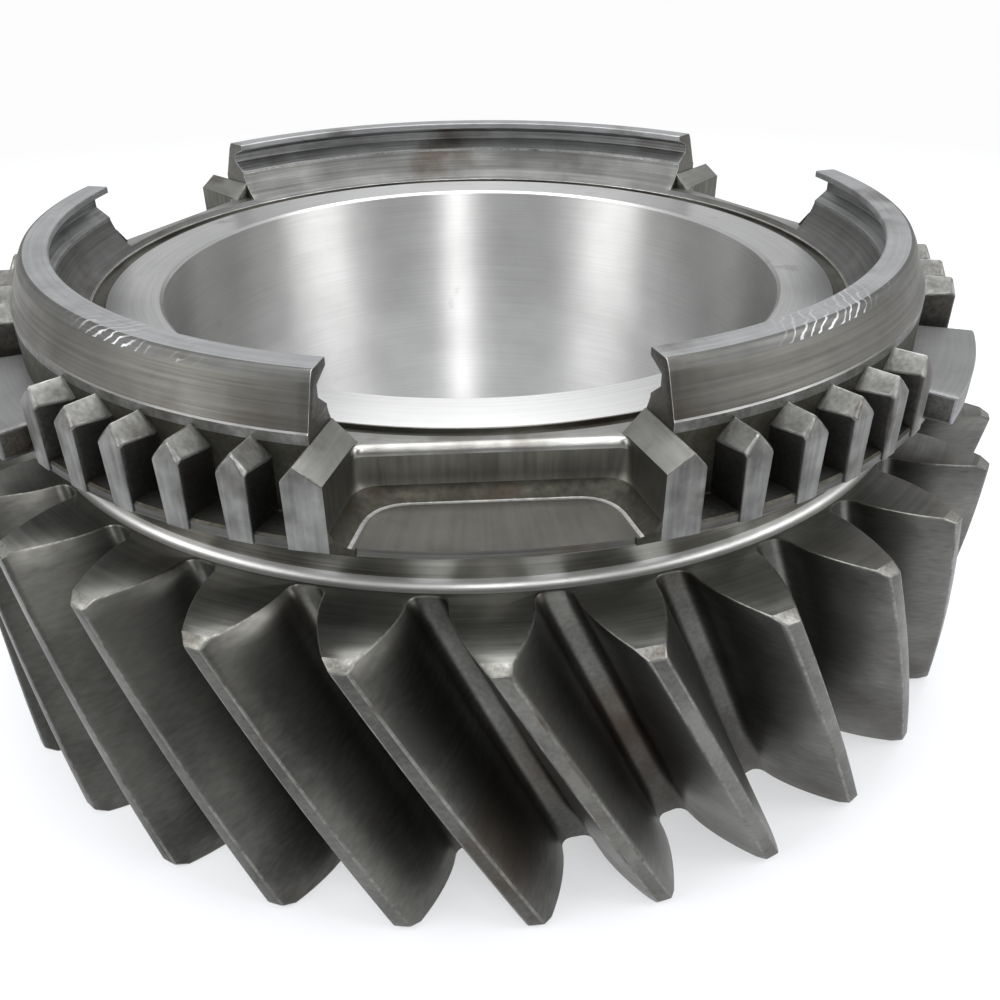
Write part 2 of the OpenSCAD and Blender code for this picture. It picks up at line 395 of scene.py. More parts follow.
FINISHES: dict[Finish, Steel] = {
    Finish.FLANK: Steel(
        "hobbed_flank", (0.165, 0.163, 0.151), (0.07, 0.069, 0.064), 0.38,
        Grain.RADIAL, 0.4, 0.25, 0.05, 10.0),
    Finish.TOOTH_END: Steel(
        "tooth_end", (0.24, 0.24, 0.226), (0.09, 0.09, 0.084), 0.4,
        Grain.AROUND, 0.4, 0.3, 0.08, 7.0),
    Finish.NECK: Steel(
        "turned_neck", (0.27, 0.266, 0.241), (0.085, 0.083, 0.074), 0.34,
        Grain.AROUND, 0.3, 0.35, 0.08, 7.0),
    Finish.DOG_FACE: Steel(
        "dog_face", (0.26, 0.262, 0.256), (0.12, 0.12, 0.116), 0.5,
        Grain.ALONG, 0.4, 0.35, 0.08, 3.0),
    # Painted shade: dark steel on the dog teeth's sides, the rim top between the teeth and the ramps' inner
    # faces, for the shade in the gaps.
    Finish.DOG_SIDE: Steel(
        "dog_side_painted_shade", (0.11, 0.108, 0.1), (0.045, 0.044, 0.04), 0.45,
        Grain.NONE, 0.4, 0.4, 0.1, 4.0),
    Finish.DOG_ROOF: Steel(
        "dog_roof", (0.23, 0.23, 0.22), (0.12, 0.12, 0.113), 0.46,
        Grain.NONE, 0.4, 0.4, 0.15, 2.0),
    Finish.DOG_EDGE: Steel(
        "dog_edge", (0.24, 0.24, 0.232), (0.12, 0.12, 0.115), 0.42,
        Grain.NONE, 0.5, 0.4, 0.1, 1.5),
    Finish.WALL_OUTER: Steel(
        "wall_outer", (0.16, 0.157, 0.145), (0.09, 0.088, 0.081), 0.42,
        Grain.AROUND, 0.3, 0.5, 0.1, 8.0),
    Finish.WALL_TOP: Steel(
        "wall_top", (0.43, 0.438, 0.447), (0.28, 0.285, 0.291), 0.44,
        Grain.AROUND, 0.3, 0.4, 0.1, 5.0, nicks=0.7),
    Finish.BROW: Steel(
        "wall_brow", (0.15, 0.15, 0.145), (0.1, 0.1, 0.096), 0.5,
        Grain.AROUND, 0.3, 0.5, 0.1, 5.0, nicks=1.0),
    Finish.CUP: Steel(
        "cup_inside", (0.18, 0.183, 0.179), (0.1, 0.101, 0.098), 0.44,
        Grain.AROUND, 0.3, 0.5, 0.1, 6.0),
    Finish.GROOVE: Steel(
        "snap_groove", (0.34, 0.348, 0.348), (0.16, 0.164, 0.164), 0.42,
        Grain.AROUND, 0.25, 0.6, 0.1, 6.0),
    Finish.HUB_FACE: Steel(
        "hub_face", (0.66, 0.662, 0.665), (0.54, 0.542, 0.545), 0.34,
        Grain.AROUND, 0.2, 0.6, 0.06, 9.0, stain_share=0.0, anisotropy=0.8),
    Finish.BORE: Steel(
        "ground_bore", (0.68, 0.68, 0.672), (0.57, 0.57, 0.563), 0.42,
        Grain.AROUND, 0.2, 0.4, 0.01, 9.0, stain_share=0.0, anisotropy=1.0),
    Finish.SLOT_WALL: Steel(
        "slot_wall", (0.16, 0.157, 0.139), (0.09, 0.088, 0.078), 0.44,
        Grain.ALONG, 0.5, 0.4, 0.08, 5.0),
    # Painted shade: near-black steel for the fillets at the slot floors, the root wall behind the dog teeth,
    # the rim's top chamfer and the ramps' slot sides, where shade falls.
    Finish.SLOT_CORNER: Steel(
        "slot_corner", (0.07, 0.068, 0.056), (0.04, 0.039, 0.032), 0.55,
        Grain.NONE, 0.5, 0.4, 0.08, 4.0),
    Finish.SLOT_FLOOR: Steel(
        "slot_floor", (0.14, 0.138, 0.127), (0.09, 0.088, 0.081), 0.44,
        Grain.RADIAL, 0.5, 0.35, 0.08, 5.0),
    # Bright worn steel on broken edges; the same finish also paints highlights: the stripe across the dog
    # teeth's roofs and the line round the slot floors.
    Finish.WORN: Steel(
        "worn_edge_and_highlight", (0.5, 0.5, 0.49), (0.26, 0.26, 0.255), 0.36,
        Grain.NONE, 0.5, 0.5, 0.1, 3.0, stain_share=0.0),
    # Painted highlight: a bright finish for the fillet at the neck's foot, standing in for the light line it
    # catches.
    Finish.FOOT_LINE: Steel(
        "neck_foot_painted_highlight", (0.62, 0.62, 0.61), (0.46, 0.46, 0.452), 0.42,
        Grain.AROUND, 0.3, 0.4, 0.05, 6.0, stain_share=0.0),
    # Painted highlight: a lighter finish on the wall's lower edge, shown as a bright edge line.
    Finish.LIP_LINE: Steel(
        "wall_lip_painted_highlight", (0.26, 0.26, 0.254), (0.15, 0.15, 0.146), 0.4,
        Grain.AROUND, 0.3, 0.4, 0.05, 6.0, stain_share=0.0),
    Finish.SHELF: Steel(
        "gap_shelf", (0.36, 0.36, 0.348), (0.24, 0.24, 0.232), 0.36,
        Grain.AROUND, 0.3, 0.4, 0.06, 4.0),
    Finish.TIP_CHAMFER: Steel(
        "tip_chamfer", (0.32, 0.317, 0.296), (0.14, 0.139, 0.128), 0.4,
        Grain.NONE, 0.3, 0.4, 0.15, 2.0),
    Finish.TOOTH_EDGE: Steel(
        "tooth_edge", (0.22, 0.218, 0.203), (0.1, 0.099, 0.092), 0.38,
        Grain.NONE, 0.5, 0.5, 0.1, 3.0),
    Finish.PAD: Steel(
        "smooth_pad", (0.3, 0.302, 0.305), (0.22, 0.222, 0.224), 0.46,
        Grain.AROUND, 0.3, 0.4, 0.06, 6.0),
    Finish.RIM: Steel(
        "rim", (0.13, 0.129, 0.122), (0.055, 0.054, 0.051), 0.4,
        Grain.AROUND, 0.3, 0.5, 0.1, 6.0),
    Finish.RAMP: Steel(
        "gap_ramp", (0.25, 0.25, 0.238), (0.17, 0.17, 0.161), 0.48,
        Grain.RADIAL, 0.4, 0.4, 0.08, 3.0),
}


class Bench:
    """The modelling bench: short names for the operators that shape a piece."""

    palette: ClassVar[list[bpy.types.Material]] = []

    @staticmethod
    def leave() -> None:
        """Leaves edit mode."""
        bpy.ops.object.mode_set(mode="OBJECT")

    @classmethod
    def clear(cls) -> None:
        """Leaves edit mode and deselects every object."""
        if bpy.context.object and bpy.context.object.mode != "OBJECT":
            cls.leave()
        bpy.ops.object.select_all(action="DESELECT")

    @classmethod
    def take(cls, piece: Piece) -> None:
        """Makes a piece the only selected and active one."""
        cls.clear()
        piece.select_set(True)
        bpy.context.view_layer.objects.active = piece

    @classmethod
    def edit(cls, piece: Piece, mode: str = "FACE") -> None:
        """Opens a piece in edit mode with nothing selected.

        Args:
            piece: Piece to open.
            mode: VERT, EDGE or FACE.
        """
        cls.take(piece)
        bpy.ops.object.mode_set(mode="EDIT")
        bpy.ops.mesh.select_mode(type=mode)
        bpy.ops.mesh.select_all(action="DESELECT")

    @classmethod
    def whole(cls, piece: Piece, mode: str = "VERT") -> None:
        """Opens a piece in edit mode with everything selected."""
        cls.edit(piece, mode)
        bpy.ops.mesh.select_all(action="SELECT")

    @classmethod
    def pick(cls, piece: Piece, mode: str, wanted: Callable[["Places"], np.ndarray]) -> None:
        """Selects faces, edges or vertices by their place and opens edit mode.

        Args:
            piece: Piece to select on.
            mode: VERT, EDGE or FACE.
            wanted: Takes the places of all the elements and tells for each whether it is wanted.
        """
        cls.edit(piece, mode)
        cls.leave()
        mesh = piece.data
        elements = {"VERT": mesh.vertices, "EDGE": mesh.edges, "FACE": mesh.polygons}[mode]
        elements.foreach_set("select", wanted(Places.of(piece, mode)))
        bpy.ops.object.mode_set(mode="EDIT")

    @classmethod
    def line(cls, name: str, points: list[Vector], closed: bool) -> Piece:
        """Draws a line of edges by extruding one vertex from point to point.

        Args:
            name: Name of the new piece.
            points: Points in millimetres.
            closed: Whether the last point is joined to the first.

        Returns:
            The piece, left in object mode.
        """
        cls.clear()
        bpy.ops.mesh.primitive_plane_add(size=MM, location=ORIGIN)
        piece = bpy.context.object
        piece.name = name
        bpy.ops.object.mode_set(mode="EDIT")
        bpy.ops.mesh.select_mode(type="VERT")
        bpy.ops.mesh.merge(type="CENTER")
        bpy.ops.transform.translate(value=points[0] * MM)
        for before, after in zip(points, points[1:]):
            bpy.ops.mesh.extrude_region_move(TRANSFORM_OT_translate={"value": (after - before) * MM})
        cls.leave()
        if closed:
            cls.edit(piece, "VERT")
            cls.leave()
            for vertex in piece.data.vertices:
                vertex.select = min((vertex.co - end * MM).length for end in (points[0], points[-1])) < 1e-6
            bpy.ops.object.mode_set(mode="EDIT")
            bpy.ops.mesh.edge_face_add()
            cls.leave()
        return piece

    @classmethod
    def narrow(cls, piece: Piece, wanted: Callable[["Places"], np.ndarray]) -> None:
        """Keeps only the wanted ones of the selected edges and opens edit mode.

        Args:
            piece: Piece with edges selected.
            wanted: Takes the places of all the edges and tells for each whether it is wanted.
        """
        cls.leave()
        edges = piece.data.edges
        chosen = np.empty(len(edges), bool)
        edges.foreach_get("select", chosen)
        edges.foreach_set("select", chosen & wanted(Places.of(piece, "EDGE")))
        bpy.ops.object.mode_set(mode="EDIT")

    @classmethod
    def bevel(cls, width: float, finish: Finish, segments: int = 2, clamp: bool = True) -> None:
        """Breaks the selected edges and leaves edit mode.

        Args:
            width: Width of the broken edge in millimetres.
            finish: Finish of the new faces.
            segments: Number of faces across the edge.
            clamp: Whether the width is held back where edges meet.
        """
        bpy.ops.mesh.bevel(offset=width * MM, segments=segments, affect="EDGES", clamp_overlap=clamp,
                           material=finish)
        cls.leave()

    @classmethod
    def join(cls, pieces: list[Piece]) -> Piece:
        """Joins pieces into the first one and returns it."""
        cls.take(pieces[0])
        for piece in pieces[1:]:
            piece.select_set(True)
        bpy.ops.object.join()
        return pieces[0]

    @classmethod
    def spin(cls, piece: Piece, degrees: float, steps: int, copies: bool = False) -> None:
        """Spins the whole piece about the axis, counter-clockwise from above.

        Args:
            piece: Piece to spin.
            degrees: Angle of the whole spin.
            steps: Number of steps.
            copies: Whether to leave separate copies instead of a swept skin.
        """
        cls.whole(piece)
        angle = math.radians(degrees)
        bpy.ops.mesh.spin(steps=steps, angle=angle, dupli=copies, center=ORIGIN, axis=AXIS_DOWN)
        bpy.ops.mesh.select_all(action="SELECT")
        bpy.ops.mesh.remove_doubles(threshold=WELD * MM)
        cls.leave()

    @classmethod
    def outward(cls, piece: Piece) -> None:
        """Turns all the normals of a closed piece outward."""
        cls.whole(piece, "FACE")
        bpy.ops.mesh.normals_make_consistent(inside=False)
        cls.leave()

    @classmethod
    def combine(cls, piece: Piece, tool: Piece, operation: str) -> None:
        """Joins a tool to a piece, or cuts it away, and removes the tool.

        Args:
            piece: Piece that stays.
            tool: Piece that is used up.
            operation: UNION, DIFFERENCE or INTERSECT.
        """
        cls.take(piece)
        bpy.ops.object.modifier_add(type="BOOLEAN")
        boolean = piece.modifiers[-1]
        boolean.operation = operation
        boolean.solver = "MANIFOLD"
        boolean.object = tool
        bpy.ops.object.modifier_apply(modifier=boolean.name)
        bpy.data.objects.remove(tool, do_unlink=True)

    @classmethod
    def finish_by(cls, piece: Piece, rule: Callable[["Places"], np.ndarray]) -> None:
        """Gives each face of a piece its finish.

        Args:
            piece: Piece whose slots are already filled.
            rule: Takes the places of the faces and returns the number of each one's finish.
        """
        cls.clear()
        piece.data.polygons.foreach_set("material_index", rule(Places.of(piece, "FACE")).astype(np.int32))
        piece.data.update()

    @classmethod
    def dress(cls, piece: Piece) -> None:
        """Gives a piece every finish of the gear, in the order of the slots."""
        for material in cls.palette:
            piece.data.materials.append(material)


def polar(radius: float, degrees: float, height: float = 0.0) -> Vector:
    """Point at a radius, an angle in degrees and a height, in millimetres."""
    turn = math.radians(degrees)
    return Vector((radius * math.cos(turn), radius * math.sin(turn), height))


def azimuth(place: Vector) -> float:
    """Angle of a place about the axis, in degrees."""
    return math.degrees(math.atan2(place.y, place.x))


@dataclass
class Places:
    """Where the elements of a mesh lie, in millimetres and degrees, and the way each one faces or runs."""

    at: np.ndarray
    way: np.ndarray

    @classmethod
    def of(cls, piece: Piece, mode: str) -> "Places":
        """Reads the places of a piece's elements.

        Args:
            piece: Piece to read, in object mode.
            mode: VERT, EDGE or FACE.

        Returns:
            Centres with the normals of faces and vertices, or the directions of edges.
        """
        mesh = piece.data
        if mode == "FACE":
            return cls(cls.read(mesh.polygons, "center") / MM, cls.read(mesh.polygons, "normal"))
        corners = cls.read(mesh.vertices, "co") / MM
        if mode == "VERT":
            return cls(corners, cls.read(mesh.vertices, "normal"))
        ends = np.empty(2 * len(mesh.edges), np.int32)
        mesh.edges.foreach_get("vertices", ends)
        first = corners[ends[0::2]]
        second = corners[ends[1::2]]
        along = second - first
        return cls((first + second) / 2, along / np.maximum(np.linalg.norm(along, axis=1), 1e-9)[:, None])

    @staticmethod
    def read(elements: bpy.types.bpy_prop_collection, name: str) -> np.ndarray:
        """Reads one vector of every element as the rows of an array."""
        values = np.empty(3 * len(elements), np.float32)
        elements.foreach_get(name, values)
        return values.reshape(-1, 3).astype(float)

    @property
    def x(self) -> np.ndarray:
        """Distances to the right."""
        return self.at[:, 0]

    @property
    def y(self) -> np.ndarray:
        """Distances to the back."""
        return self.at[:, 1]

    @property
    def z(self) -> np.ndarray:
        """Heights."""
        return self.at[:, 2]

    @property
    def r(self) -> np.ndarray:
        """Distances from the axis."""
        return np.hypot(self.x, self.y)

    @property
    def rise(self) -> np.ndarray:
        """Upward share of each normal or direction."""
        return self.way[:, 2]

    def off(self, middle: float, pitch: float = 360.0) -> np.ndarray:
        """Angle of each place from the nearest of the directions that repeat by a pitch from a middle one.

        Args:
            middle: Direction to measure from.
            pitch: Angle between two such directions.

        Returns:
            Angles in degrees, from minus half a pitch to half a pitch.
        """
        turn = np.degrees(np.arctan2(self.y, self.x))
        return (turn - middle + pitch / 2) % pitch - pitch / 2


@dataclass
class Corner:
    """Corner of a turned section: its place, its rounding and the finish of the stretch after it."""

    r: float
    z: float
    rounding: float
    finish: Finish


@dataclass
class Section:
    """Closed section of a turned body, with rounded corners."""

    corners: list[Corner]
    arc_steps: int = 5
    points: list[Vector] = field(default_factory=list)
    finishes: list[Finish] = field(default_factory=list)

    def trace(self) -> list[Vector]:
        """Works out the section's points.

        Returns:
            Points in millimetres, as radius and height.
        """
        count = len(self.corners)
        for i, corner in enumerate(self.corners):
            here = Vector((corner.r, corner.z))
            before = Vector((self.corners[i - 1].r, self.corners[i - 1].z)) - here
            after_corner = self.corners[(i + 1) % count]
            after = Vector((after_corner.r, after_corner.z)) - here
            if corner.rounding <= 0:
                self.points.append(here)
                self.finishes.append(corner.finish)
                continue
            half = before.angle(after) / 2
            room = 0.49 if self.corners[i - 1].rounding > 0 else 0.98
            reach = min(corner.rounding / math.tan(half), room * before.length, 0.49 * after.length)
            start = here + before.normalized() * reach
            end = here + after.normalized() * reach
            for k in range(self.arc_steps + 1):
                share = k / self.arc_steps
                bow = start.lerp(here, share).lerp(here.lerp(end, share), share)
                self.points.append(bow)
                worn = corner.finish if k == self.arc_steps else self.corners[i - 1].finish
                self.finishes.append(worn)
        return self.points

    def finish_at(self, places: Places) -> np.ndarray:
        """Finds the finish of the stretch that lies nearest to each place.

        Args:
            places: Places of faces.

        Returns:
            Numbers of the finishes.
        """
        starts = np.array([tuple(p) for p in self.points])
        along = np.roll(starts, -1, axis=0) - starts
        away = np.stack([places.r, places.z], axis=1)[:, None, :] - starts[None]
        share = np.clip((away * along).sum(2) / np.maximum((along**2).sum(1), 1e-9), 0, 1)
        gap = np.linalg.norm(away - along * share[..., None], axis=2)
        return np.array(self.finishes, int)[gap.argmin(axis=1)]


@dataclass
class HelicalBand:
    """Toothed band of the gear, with left-hand helical teeth. Sizes in millimetres and degrees."""

    teeth: int = 31
    normal_module: float = 3.1
    helix: float = 25.5
    pressure: float = 20.0
    addendum: float = 3.98
    dedendum: float = 5.0
    backlash: float = 0.2
    root_fillet: float = 1.1
    core_r: float = 33.0
    face_w: float = 29.4
    tip_chamfer_r: float = 1.0
    tip_chamfer_z: float = 0.5
    tooth_turn: float = -0.5
    deburr: float = 0.16
    sharp: float = 35.0
    inner_margin: float = 2.0
    slices: int = 16
    flank_steps: int = 8
    fillet_steps: int = 5
    tip_steps: int = 2

    def __post_init__(self) -> None:
        """Works out the radii and angles in the plane across the axis."""
        self.pitch_r = self.teeth * self.normal_module / math.cos(math.radians(self.helix)) / 2
        self.tip_r = self.pitch_r + self.addendum
        self.root_r = self.pitch_r - self.dedendum
        across = math.tan(math.radians(self.pressure)) / math.cos(math.radians(self.helix))
        self.face_pressure = math.atan(across)
        self.base_r = self.pitch_r * math.cos(self.face_pressure)
        self.twist = math.degrees(math.tan(math.radians(self.helix)) / self.pitch_r)
        self.step = 360 / self.teeth

    def half_angle(self, radius: float) -> float:
        """Half angle of a tooth at a radius, in degrees."""
        involute = lambda a: math.tan(a) - a
        at_pitch = math.pi / 2 / self.teeth - self.backlash / 2 / self.pitch_r
        turn = involute(self.face_pressure) - involute(math.acos(min(1.0, self.base_r / radius)))
        return math.degrees(at_pitch + turn)

    def right_side(self) -> list[Point]:
        """Right side of one tooth's outline.

        Returns:
            Radius and angle of each point, from the tip to the root's fillet.
        """
        fillet_r = self.root_r + self.root_fillet
        foot = math.degrees(math.asin(self.root_fillet / fillet_r))
        flank_low = math.sqrt(fillet_r**2 - self.root_fillet**2)
        low = self.tip_r - self.tip_chamfer_r
        radii = [self.tip_r, (self.tip_r + low) / 2, low]
        radii += [low + (flank_low - low) * i / self.flank_steps for i in range(1, self.flank_steps)]
        flank = [(radius, self.half_angle(radius)) for radius in radii]
        centre = polar(fillet_r, self.half_angle(self.base_r) + foot)
        root = []
        for i in range(self.fillet_steps + 1):
            turn = self.half_angle(self.base_r) + foot - 90 - 90 * i / self.fillet_steps
            place = centre + polar(self.root_fillet, turn)
            root.append((place.length, azimuth(place)))
        return flank + root

    def build(self) -> Piece:
        """Models one tooth and copies it round the band.

        Returns:
            The closed band, a ring with a spare core inside the bore.
        """
        right = self.right_side()
        left = [(r, -a) for r, a in reversed(right)]
        tip = []
        for i in range(1, self.tip_steps):
            tip.append((self.tip_r, right[0][1] * (2 * i / self.tip_steps - 1)))
        start = FRONT + self.tooth_turn + self.twist * self.face_w
        sides = [(self.root_r, -self.step / 2), *left, *tip, *right, (self.root_r, self.step / 2)]
        band = Bench.line("helical_band", [polar(r, start + a) for r, a in sides], closed=False)
        self.sweep(band)
        for end in (-1, 1):
            self.close_end(band, end)
        self.inner_wall(band)
        Bench.outward(band)
        Bench.dress(band)
        Bench.finish_by(band, self.finish_of)
        self.break_edges(band)
        Bench.spin(band, 360 - self.step, self.teeth - 1, copies=True)
        Bench.outward(band)
        return band

    def sweep(self, band: Piece) -> None:
        """Sweeps the outline of a tooth up the helix.

        Args:
            band: Outline of one tooth at the lower end.
        """
        Bench.take(band)
        bpy.ops.object.modifier_add(type="SCREW")
        screw = band.modifiers[-1]
        screw.axis = "Z"
        screw.angle = -math.radians(self.twist * self.face_w)
        screw.screw_offset = self.face_w * MM
        screw.steps = screw.render_steps = self.slices
        screw.use_merge_vertices = False
        bpy.ops.object.modifier_apply(modifier=screw.name)

    def close_end(self, band: Piece, end: int) -> None:
        """Closes one end of the tooth with its chamfer and its flat, which reaches in to the core.

        Args:
            band: Swept tooth.
            end: 1 for the upper end, -1 for the lower.
        """
        height = self.face_w if end > 0 else 0.0
        middle = FRONT + self.tooth_turn + (self.face_w - height) * self.twist
        low = self.tip_r - self.tip_chamfer_r
        Bench.pick(band, "VERT", lambda p: (abs(p.z - height) < TOUCH) & (p.r > low - TOUCH))
        bpy.ops.mesh.edge_face_add()
        for side in (-1, 1):
            place = middle + side * self.step / 2
            Bench.pick(band, "VERT", lambda p: (abs(p.z - height) < TOUCH) & (abs(p.off(place)) < TOUCH))
            inward = polar(self.core_r - self.root_r, place) * MM
            bpy.ops.mesh.extrude_region_move(TRANSFORM_OT_translate={"value": inward})
        Bench.pick(band, "VERT", lambda p: (abs(p.z - height) < TOUCH) & (p.r < low + TOUCH))
        bpy.ops.mesh.edge_face_add()
        Bench.leave()
        for corner in band.data.vertices:
            beyond = corner.co.xy.length / MM - low
            if abs(corner.co.z / MM - height) < TOUCH and beyond > TOUCH:
                drop = beyond * self.tip_chamfer_z / self.tip_chamfer_r
                turn = Matrix.Rotation(math.radians(end * drop * self.twist), 3, "Z")
                corner.co = turn @ corner.co - Vector((0, 0, end * drop * MM))

    def inner_wall(self, band: Piece) -> None:
        """Joins the inner edges of the two ends, inside the bore."""
        Bench.pick(band, "EDGE", lambda p: p.r < self.core_r + TOUCH)
        bpy.ops.mesh.bridge_edge_loops()
        Bench.leave()

    def finish_of(self, places: Places) -> np.ndarray:
        """Finishes of a tooth's faces: chamfers, flat ends and flanks."""
        flat = abs(places.rise) > 0.99
        chamfer = (abs(places.rise) > 0.6) & ~flat & (places.r > self.tip_r - self.tip_chamfer_r)
        rest = np.where(flat, Finish.TOOTH_END, Finish.FLANK)
        return np.where(chamfer, Finish.TIP_CHAMFER, rest)

    def break_edges(self, band: Piece) -> None:
        """Breaks the sharp edges of the tooth, which are worn bright."""
        Bench.edit(band, "EDGE")
        bpy.ops.mesh.edges_select_sharp(sharpness=math.radians(self.sharp))
        Bench.narrow(band, lambda p: p.r >= self.root_r - self.inner_margin)
        Bench.bevel(self.deburr, Finish.TOOTH_EDGE)


@dataclass
class TurnedBody:
    """Hub, neck, rim and cup wall, turned in one section. Sizes in millimetres and degrees."""

    bore_r: float = 34.0
    bore_chamfer: float = 0.3
    hub_z: float = 39.75
    relief_in_r: float = 39.8
    foot_r: float = 41.2
    relief_z: float = 39.3
    band_z: float = 29.4
    neck_r: float = 47.2
    neck_fillet: float = 0.95
    underside_z: float = 33.4
    rim_r: float = 51.3
    rim_low_z: float = 35.0
    rim_top_z: float = 36.0
    dog_root_r: float = 48.0
    # Height up to which the root wall behind the dog teeth is painted dark as shade; above it the wall takes
    # the lighter roof finish
    root_shade_top_z: float = 42.0
    seat_h: float = 0.15
    wall_edge_r: float = 47.87
    wall_edge_z: float = 43.0
    wall_top_r: float = 46.1
    brow_w: float = 0.45
    brow_h: float = 0.8
    wall_top_z: float = 47.2
    lip_r: float = 43.55
    lip_t: float = 0.7
    snap_r: float = 45.45
    snap_top_z: float = 45.74
    snap_low_z: float = 44.74
    ridge_r: float = 44.0
    ridge_z: float = 43.58
    ridge_flat: float = 0.3
    band_foot_r: float = 41.55
    band_bow: float = 0.35
    shelf_z: float = 40.2
    gaps: int = 3
    gap_half: float = 16.2
    steps: int = 300
    cap_corners: int = 10
    sink: float = 2.0
    weld: float = 0.02
    edge: float = 0.2

    def inside_band(self) -> list[Corner]:
        """Corners of the hollow band between the ridge and the wall's foot.

        Returns:
            Corners from the ridge down, one of them at the shelf's height.
        """
        top = Vector((self.ridge_r, self.ridge_z - self.ridge_flat))
        low = Vector((self.band_foot_r, self.hub_z))
        along = (top - low).normalized()
        out = Vector((along.y, -along.x))
        shares = [0.85, 0.7, 0.55, 0.4, 0.25]
        shares.append((self.shelf_z - self.hub_z) / (top.y - low.y))
        corners = []
        for share in shares:
            bow = self.band_bow * 4 * share * (1 - share)
            place = low.lerp(top, share) + out * bow
            height = self.shelf_z if share == shares[-1] else place.y
            corners.append(Corner(place.x, height, 0, Finish.CUP))
        return corners

    def section(self) -> Section:
        """Section through a wall segment.

        Returns:
            The closed section, with a spare core inside the bore.
        """
        core_r = self.bore_r - self.sink
        core_z = self.band_z - self.sink
        foot_z = self.band_z - self.weld
        return Section([
            Corner(core_r, core_z, 0, Finish.NECK),
            Corner(self.neck_r + self.neck_fillet, core_z, 0, Finish.NECK),
            # Painted highlight: the fillet that follows, at the neck's foot, has the bright foot finish.
            Corner(self.neck_r + self.neck_fillet, foot_z, 0, Finish.FOOT_LINE),
            Corner(self.neck_r, foot_z, 2 * self.neck_fillet, Finish.NECK),
            Corner(self.neck_r, self.underside_z, 0.3, Finish.NECK),
            Corner(self.rim_r, self.rim_low_z, 0.12, Finish.RIM),
            # Painted shade: the rim's top chamfer and the root wall behind the dog teeth, up to the height
            # where it turns lighter, are near black.
            Corner(self.rim_r, self.rim_top_z - self.edge, 0, Finish.SLOT_CORNER),
            Corner(self.rim_r - self.edge, self.rim_top_z, 0, Finish.DOG_SIDE),
            Corner(self.dog_root_r, self.rim_top_z, 0.2, Finish.SLOT_CORNER),
            Corner(self.dog_root_r, self.shelf_z, 0, Finish.SLOT_CORNER),
            Corner(self.dog_root_r, self.root_shade_top_z, 0, Finish.DOG_ROOF),
            # Painted highlight: the wall's lower edge that follows is made light.
            Corner(self.dog_root_r, self.wall_edge_z - self.seat_h, 0.05, Finish.LIP_LINE),
            Corner(self.wall_edge_r, self.wall_edge_z, 0.05, Finish.WALL_OUTER),
            Corner(self.wall_top_r + self.brow_w, self.wall_top_z - self.brow_h, 0.15, Finish.BROW),
            Corner(self.wall_top_r, self.wall_top_z, 0.45, Finish.WALL_TOP),
            Corner(self.lip_r, self.wall_top_z, 0.15, Finish.WALL_TOP),
            Corner(self.lip_r, self.wall_top_z - self.lip_t, 0.1, Finish.GROOVE),
            Corner(self.snap_r, self.snap_top_z, 0.15, Finish.GROOVE),
            Corner(self.snap_r, self.snap_low_z, 0.15, Finish.GROOVE),
            Corner(self.ridge_r, self.ridge_z, 0.1, Finish.WORN),
            Corner(self.ridge_r, self.ridge_z - self.ridge_flat, 0.1, Finish.CUP),
            *self.inside_band(),
            Corner(self.band_foot_r, self.hub_z, 0.1, Finish.WORN),
            Corner(self.foot_r, self.hub_z, 0.1, Finish.NECK),
            Corner(self.foot_r, self.relief_z, 0, Finish.NECK),
            Corner(self.relief_in_r, self.relief_z, 0, Finish.NECK),
            Corner(self.relief_in_r, self.hub_z, 0.12, Finish.HUB_FACE),
            Corner(core_r, self.hub_z, 0, Finish.HUB_FACE),
        ])

    def build(self) -> Piece:
        """Models the turned body with its wall in segments.

        Returns:
            The closed body, still without its bore.
        """
        section = self.section()
        first = FRONT + 180 / self.steps
        points = [polar(p.x, first, p.y) for p in section.trace()]
        body = Bench.line("turned_body", points, closed=True)
        Bench.spin(body, 360, self.steps)
        Bench.outward(body)
        Bench.dress(body)
        Bench.finish_by(body, section.finish_at)
        self.open_gaps(body)
        return body

    def open_gaps(self, body: Piece) -> None:
        """Cuts the wall into segments and closes the cut with a shelf and end faces.

        Args:
            body: Whole turned body.
        """
        pitch = 360 / self.gaps
        inner = self.foot_r + 0.2
        Bench.pick(body, "FACE", lambda p: (abs(p.off(FRONT, pitch)) < self.gap_half)
                   & (p.z > self.shelf_z) & (p.r > inner))
        bpy.ops.mesh.delete(type="FACE")
        for i in range(self.gaps):
            middle = FRONT + i * pitch
            span = self.gap_half + 0.1
            Bench.pick(body, "EDGE", lambda p: (abs(p.off(middle)) < span) & (p.r > inner)
                       & (abs(p.z - self.shelf_z) < TOUCH) & (abs(p.rise) < TOUCH))
            bpy.ops.mesh.bridge_edge_loops()
            Bench.leave()
        self.close_ends(body)
        shelf = Places.of(body, "FACE")
        for index in np.flatnonzero((abs(shelf.z - self.shelf_z) < TOUCH) & (shelf.rise > 0.9)):
            body.data.polygons[int(index)].material_index = Finish.SHELF

